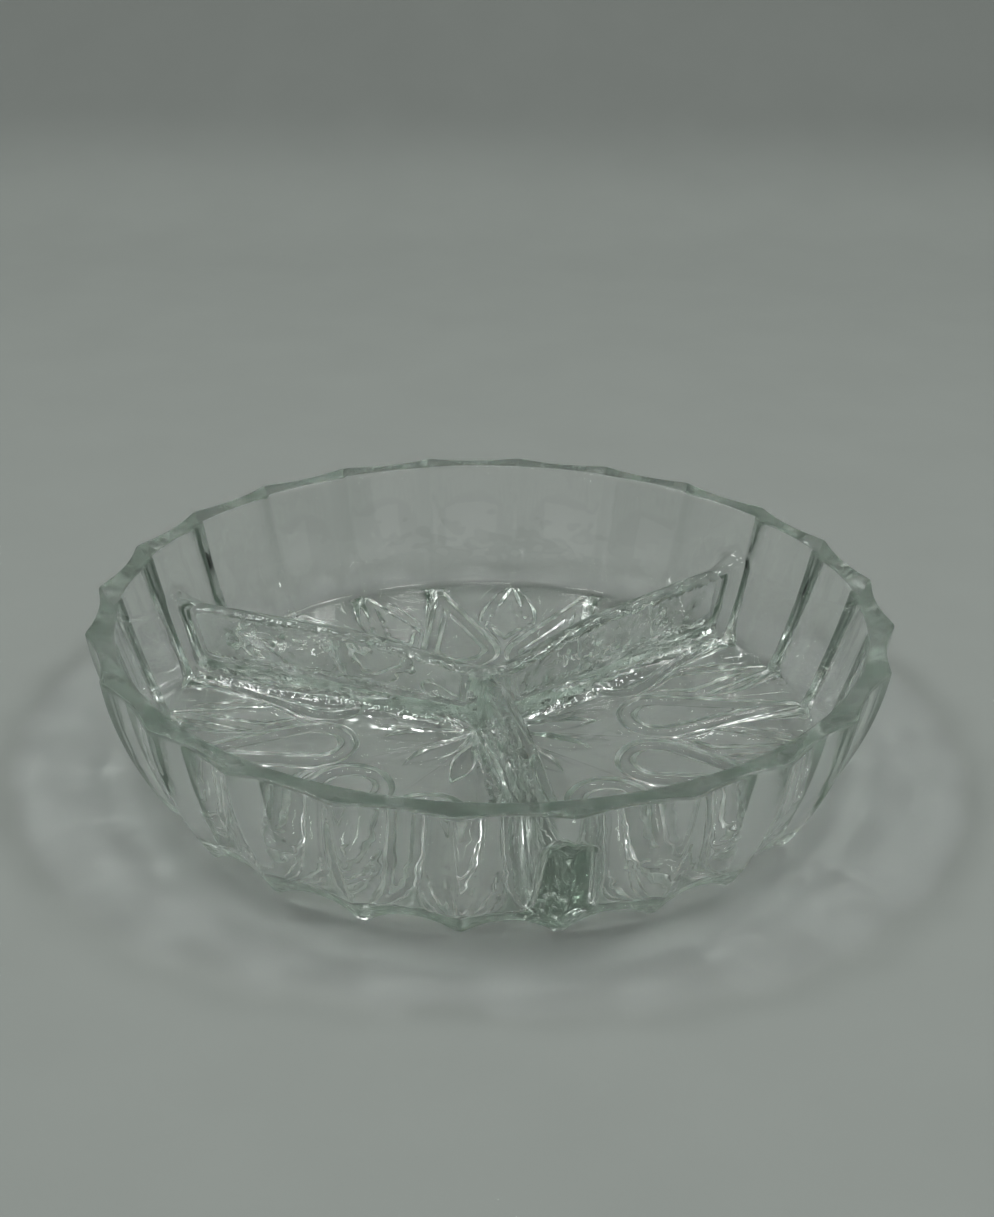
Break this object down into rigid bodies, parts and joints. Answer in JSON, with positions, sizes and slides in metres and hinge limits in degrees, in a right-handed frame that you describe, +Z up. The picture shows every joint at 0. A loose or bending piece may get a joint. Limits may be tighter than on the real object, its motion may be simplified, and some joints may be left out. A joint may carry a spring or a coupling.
{
  "type": "divided serving dish",
  "caption": "Round pressed glass serving dish with hollow flutes round its wall, low dividers that part it into compartments, and pointed feet round a petal-patterned base.",
  "frame": {"origin": "middle of the resting face, at table height", "axes": "+Z up along the dish's axis, -Y along the front divider"},
  "size_m": [0.2098, 0.2098, 0.041],
  "materials": {
    "pressed_glass": "fire-polished clear soda-lime glass, grey-green in thick places"
  },
  "bodies": {
    "root": {"base_plate": "pressed_glass", "fluted_wall": "pressed_glass", "divider_front": "pressed_glass", "divider_left": "pressed_glass", "divider_right": "pressed_glass"}
  },
  "joints": []
}
